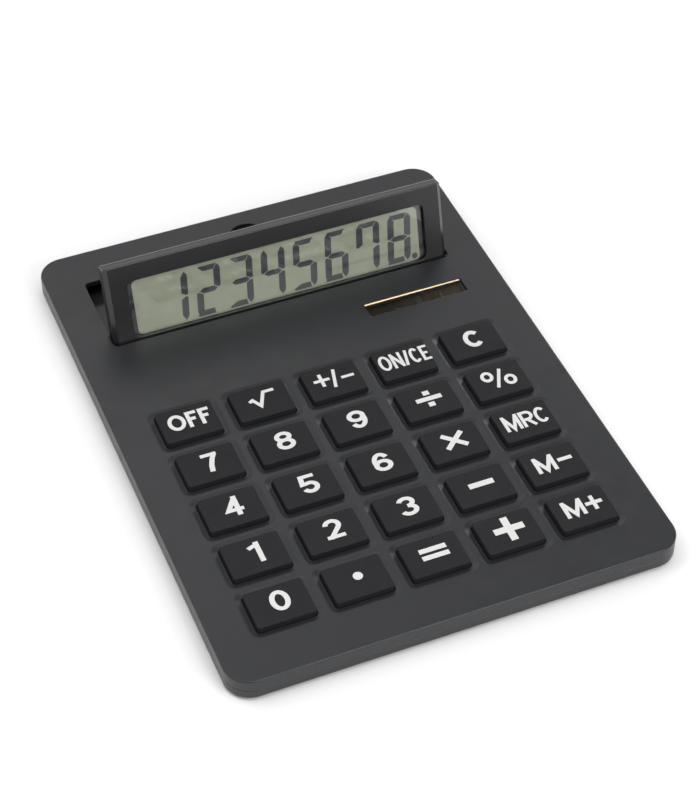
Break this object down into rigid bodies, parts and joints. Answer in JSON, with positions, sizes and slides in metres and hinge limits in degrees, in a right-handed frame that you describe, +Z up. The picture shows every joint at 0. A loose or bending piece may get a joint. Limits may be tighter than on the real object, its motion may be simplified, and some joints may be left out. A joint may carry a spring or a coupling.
{
  "type": "desk calculator",
  "caption": "Flat desk calculator with large raised keys, a flip-up display in a well, a solar window and rubber feet.",
  "frame": {"origin": "middle of the case plan, on the surface that the rubber feet stand on", "axes": "+X to the user's right, +Y away from the user towards the display, +Z up"},
  "size_m": [0.2, 0.268, 0.0481],
  "materials": {
    "case_plastic": "fine satin grain, charcoal",
    "key_plastic": "fine matte grain, near black, white printed legends",
    "display_plastic": "satin, near black",
    "foot_rubber": "matte",
    "silicone_rubber": "matte grey silicone",
    "board_laminate": "green solder mask",
    "epoxy": "glossy black resin",
    "clear_lens": "clear acrylic, glossy",
    "lcd_glass": "olive grey liquid crystal panel with dark seven-segment digits",
    "white_plastic": "white moulded holder",
    "ribbon_film": "amber polyimide film",
    "solar_cell": "dark amorphous silicon cell",
    "amber_window": "glossy amber tint",
    "steel": "plated steel"
  },
  "bodies": {
    "case": {"top_case": "case_plastic", "bottom_case": "case_plastic", "case_screw_1": "steel", "case_screw_2": "steel", "case_screw_3": "steel", "case_screw_4": "steel", "case_screw_5": "steel", "case_screw_6": "steel", "foot_1": "foot_rubber", "foot_2": "foot_rubber", "foot_3": "foot_rubber", "foot_4": "foot_rubber", "keypad_membrane": "silicone_rubber", "circuit_board": "board_laminate", "processor": "epoxy", "solar_window": "amber_window", "solar_cell": "solar_cell", "button_cell": "steel", "contact_negative": "steel", "contact_positive": "steel", "battery_cover": "case_plastic", "cover_screw": "steel", "hinge_pin_left": "steel", "hinge_pin_right": "steel", "flex_ribbon": "ribbon_film"},
    "display": {"display_bezel": "display_plastic", "display_back_cover": "display_plastic", "display_lens": "clear_lens", "lcd_panel": "lcd_glass", "lcd_holder": "white_plastic"},
    "key_off": {"key_off": "key_plastic"},
    "key_square_root": {"key_square_root": "key_plastic"},
    "key_change_sign": {"key_change_sign": "key_plastic"},
    "key_on_clear_entry": {"key_on_clear_entry": "key_plastic"},
    "key_clear": {"key_clear": "key_plastic"},
    "key_7": {"key_7": "key_plastic"},
    "key_8": {"key_8": "key_plastic"},
    "key_9": {"key_9": "key_plastic"},
    "key_divide": {"key_divide": "key_plastic"},
    "key_percent": {"key_percent": "key_plastic"},
    "key_4": {"key_4": "key_plastic"},
    "key_5": {"key_5": "key_plastic"},
    "key_6": {"key_6": "key_plastic"},
    "key_multiply": {"key_multiply": "key_plastic"},
    "key_memory_recall": {"key_memory_recall": "key_plastic"},
    "key_1": {"key_1": "key_plastic"},
    "key_2": {"key_2": "key_plastic"},
    "key_3": {"key_3": "key_plastic"},
    "key_minus": {"key_minus": "key_plastic"},
    "key_memory_minus": {"key_memory_minus": "key_plastic"},
    "key_0": {"key_0": "key_plastic"},
    "key_point": {"key_point": "key_plastic"},
    "key_equals": {"key_equals": "key_plastic"},
    "key_plus": {"key_plus": "key_plastic"},
    "key_memory_plus": {"key_memory_plus": "key_plastic"}
  },
  "joints": [
    {"name": "display_flip", "type": "hinge", "parent": "case", "child": "display", "pos_m": [0, 0.0711, 0.00785], "axis": [1, 0, 0], "range_deg": [-75, 0], "deforming": ["flex_ribbon"]},
    {"name": "key_off_travel", "type": "slide", "parent": "case", "child": "key_off", "axis": [0, 0, -1], "range_m": [0, 0.0012], "stiffness_N_per_m": 500, "springref_m": -0.0004, "deforming": ["keypad_membrane"]},
    {"name": "key_square_root_travel", "type": "slide", "parent": "case", "child": "key_square_root", "axis": [0, 0, -1], "range_m": [0, 0.0012], "stiffness_N_per_m": 500, "springref_m": -0.0004, "deforming": ["keypad_membrane"]},
    {"name": "key_change_sign_travel", "type": "slide", "parent": "case", "child": "key_change_sign", "axis": [0, 0, -1], "range_m": [0, 0.0012], "stiffness_N_per_m": 500, "springref_m": -0.0004, "deforming": ["keypad_membrane"]},
    {"name": "key_on_clear_entry_travel", "type": "slide", "parent": "case", "child": "key_on_clear_entry", "axis": [0, 0, -1], "range_m": [0, 0.0012], "stiffness_N_per_m": 500, "springref_m": -0.0004, "deforming": ["keypad_membrane"]},
    {"name": "key_clear_travel", "type": "slide", "parent": "case", "child": "key_clear", "axis": [0, 0, -1], "range_m": [0, 0.0012], "stiffness_N_per_m": 500, "springref_m": -0.0004, "deforming": ["keypad_membrane"]},
    {"name": "key_7_travel", "type": "slide", "parent": "case", "child": "key_7", "axis": [0, 0, -1], "range_m": [0, 0.0012], "stiffness_N_per_m": 500, "springref_m": -0.0004, "deforming": ["keypad_membrane"]},
    {"name": "key_8_travel", "type": "slide", "parent": "case", "child": "key_8", "axis": [0, 0, -1], "range_m": [0, 0.0012], "stiffness_N_per_m": 500, "springref_m": -0.0004, "deforming": ["keypad_membrane"]},
    {"name": "key_9_travel", "type": "slide", "parent": "case", "child": "key_9", "axis": [0, 0, -1], "range_m": [0, 0.0012], "stiffness_N_per_m": 500, "springref_m": -0.0004, "deforming": ["keypad_membrane"]},
    {"name": "key_divide_travel", "type": "slide", "parent": "case", "child": "key_divide", "axis": [0, 0, -1], "range_m": [0, 0.0012], "stiffness_N_per_m": 500, "springref_m": -0.0004, "deforming": ["keypad_membrane"]},
    {"name": "key_percent_travel", "type": "slide", "parent": "case", "child": "key_percent", "axis": [0, 0, -1], "range_m": [0, 0.0012], "stiffness_N_per_m": 500, "springref_m": -0.0004, "deforming": ["keypad_membrane"]},
    {"name": "key_4_travel", "type": "slide", "parent": "case", "child": "key_4", "axis": [0, 0, -1], "range_m": [0, 0.0012], "stiffness_N_per_m": 500, "springref_m": -0.0004, "deforming": ["keypad_membrane"]},
    {"name": "key_5_travel", "type": "slide", "parent": "case", "child": "key_5", "axis": [0, 0, -1], "range_m": [0, 0.0012], "stiffness_N_per_m": 500, "springref_m": -0.0004, "deforming": ["keypad_membrane"]},
    {"name": "key_6_travel", "type": "slide", "parent": "case", "child": "key_6", "axis": [0, 0, -1], "range_m": [0, 0.0012], "stiffness_N_per_m": 500, "springref_m": -0.0004, "deforming": ["keypad_membrane"]},
    {"name": "key_multiply_travel", "type": "slide", "parent": "case", "child": "key_multiply", "axis": [0, 0, -1], "range_m": [0, 0.0012], "stiffness_N_per_m": 500, "springref_m": -0.0004, "deforming": ["keypad_membrane"]},
    {"name": "key_memory_recall_travel", "type": "slide", "parent": "case", "child": "key_memory_recall", "axis": [0, 0, -1], "range_m": [0, 0.0012], "stiffness_N_per_m": 500, "springref_m": -0.0004, "deforming": ["keypad_membrane"]},
    {"name": "key_1_travel", "type": "slide", "parent": "case", "child": "key_1", "axis": [0, 0, -1], "range_m": [0, 0.0012], "stiffness_N_per_m": 500, "springref_m": -0.0004, "deforming": ["keypad_membrane"]},
    {"name": "key_2_travel", "type": "slide", "parent": "case", "child": "key_2", "axis": [0, 0, -1], "range_m": [0, 0.0012], "stiffness_N_per_m": 500, "springref_m": -0.0004, "deforming": ["keypad_membrane"]},
    {"name": "key_3_travel", "type": "slide", "parent": "case", "child": "key_3", "axis": [0, 0, -1], "range_m": [0, 0.0012], "stiffness_N_per_m": 500, "springref_m": -0.0004, "deforming": ["keypad_membrane"]},
    {"name": "key_minus_travel", "type": "slide", "parent": "case", "child": "key_minus", "axis": [0, 0, -1], "range_m": [0, 0.0012], "stiffness_N_per_m": 500, "springref_m": -0.0004, "deforming": ["keypad_membrane"]},
    {"name": "key_memory_minus_travel", "type": "slide", "parent": "case", "child": "key_memory_minus", "axis": [0, 0, -1], "range_m": [0, 0.0012], "stiffness_N_per_m": 500, "springref_m": -0.0004, "deforming": ["keypad_membrane"]},
    {"name": "key_0_travel", "type": "slide", "parent": "case", "child": "key_0", "axis": [0, 0, -1], "range_m": [0, 0.0012], "stiffness_N_per_m": 500, "springref_m": -0.0004, "deforming": ["keypad_membrane"]},
    {"name": "key_point_travel", "type": "slide", "parent": "case", "child": "key_point", "axis": [0, 0, -1], "range_m": [0, 0.0012], "stiffness_N_per_m": 500, "springref_m": -0.0004, "deforming": ["keypad_membrane"]},
    {"name": "key_equals_travel", "type": "slide", "parent": "case", "child": "key_equals", "axis": [0, 0, -1], "range_m": [0, 0.0012], "stiffness_N_per_m": 500, "springref_m": -0.0004, "deforming": ["keypad_membrane"]},
    {"name": "key_plus_travel", "type": "slide", "parent": "case", "child": "key_plus", "axis": [0, 0, -1], "range_m": [0, 0.0012], "stiffness_N_per_m": 500, "springref_m": -0.0004, "deforming": ["keypad_membrane"]},
    {"name": "key_memory_plus_travel", "type": "slide", "parent": "case", "child": "key_memory_plus", "axis": [0, 0, -1], "range_m": [0, 0.0012], "stiffness_N_per_m": 500, "springref_m": -0.0004, "deforming": ["keypad_membrane"]}
  ]
}
